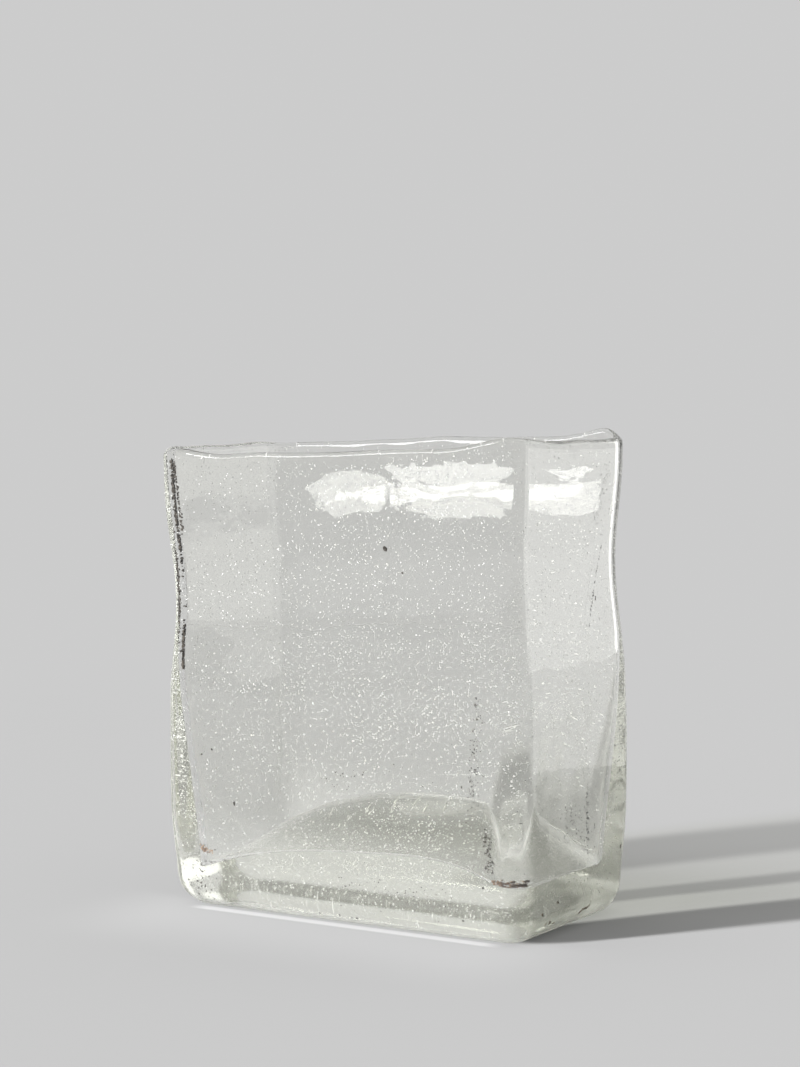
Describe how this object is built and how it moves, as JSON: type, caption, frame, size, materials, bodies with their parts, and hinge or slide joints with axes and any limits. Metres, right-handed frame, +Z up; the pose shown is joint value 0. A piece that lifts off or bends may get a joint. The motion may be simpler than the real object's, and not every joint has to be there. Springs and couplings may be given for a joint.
{
  "type": "bubble glass vase",
  "caption": "Rectangular slab vase of clear glass full of tiny bubbles, with a drawn-in waist, a flared uneven rim and a thick base that rises inside.",
  "frame": {"origin": "middle of the vase's extent in plan, on the flat sole that it stands on", "axes": "+Z up, out of the mouth; X along the broad faces, with the taller end of the rim at +X; Y from one broad face to the other, with the face seen in the picture at -Y"},
  "size_m": [0.161, 0.0904, 0.1848],
  "materials": {
    "bubble_glass": "clear, faintly grey-green, fire-polished, with seed bubbles"
  },
  "bodies": {
    "root": {"vase_body": "bubble_glass"}
  },
  "joints": []
}
